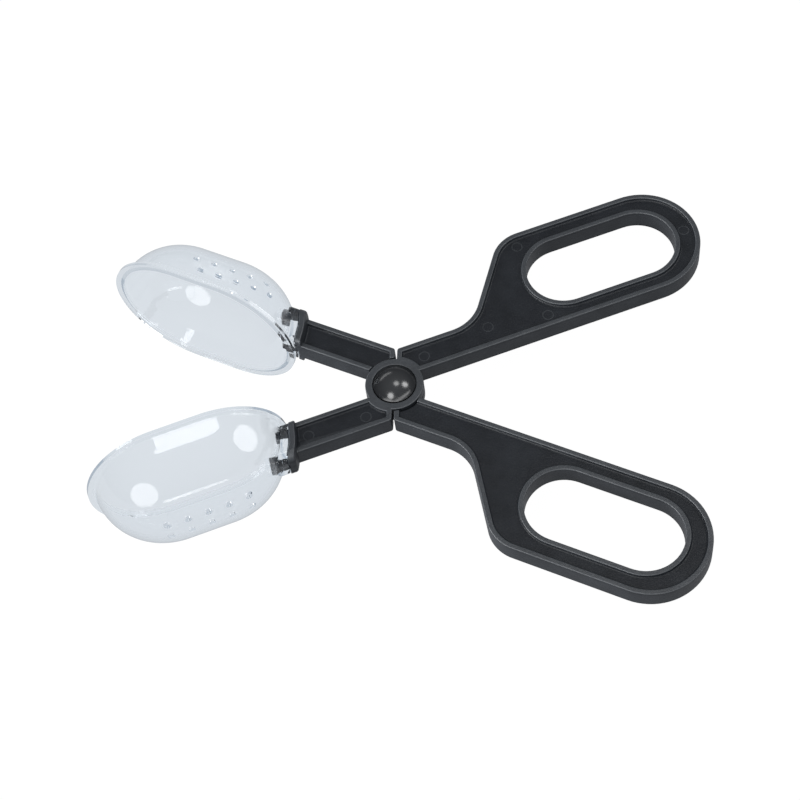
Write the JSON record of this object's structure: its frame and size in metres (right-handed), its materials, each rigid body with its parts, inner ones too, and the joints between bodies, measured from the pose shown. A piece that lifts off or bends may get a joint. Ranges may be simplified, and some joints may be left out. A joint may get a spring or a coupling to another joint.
{
  "type": "scoop tongs",
  "caption": "Scissor-action hand tongs with clear ventilated scoop cups that close together and oval finger loops on flat ribbed arms.",
  "frame": {"origin": "middle of the open tongs: half way along them, on their centre line, half way up the hub; the pivot axis stands 1.84 mm behind it, towards the scoops", "axes": "+X towards the finger loops, +Z along the pivot axis towards the upper rivet head, +Y to the side on which the upper arm's finger loop lies"},
  "size_m": [0.2114, 0.1594, 0.0558],
  "materials": {
    "arm_plastic": "fine moulded satin",
    "clear_plastic": "clear polished",
    "rivet_plastic": "polished"
  },
  "bodies": {
    "pivot": {"pivot_rivet": "rivet_plastic", "pivot_cap": "rivet_plastic"},
    "upper_arm": {"upper_arm": "arm_plastic", "upper_scoop": "clear_plastic"},
    "lower_arm": {"lower_arm": "arm_plastic", "lower_scoop": "clear_plastic"}
  },
  "joints": [
    {"name": "upper_arm_pivot", "type": "hinge", "parent": "pivot", "child": "upper_arm", "pos_m": [-0.00184, 0, 0], "axis": [0, 0, 1], "range_deg": [-22.3, 1.4]},
    {"name": "lower_arm_pivot", "type": "hinge", "parent": "pivot", "child": "lower_arm", "pos_m": [-0.00184, 0, 0], "axis": [0, 0, 1], "range_deg": [-1.4, 22.3]}
  ],
  "couplings": [
    {"joint": "lower_arm_pivot", "follows": "upper_arm_pivot", "ratio": -1}
  ]
}
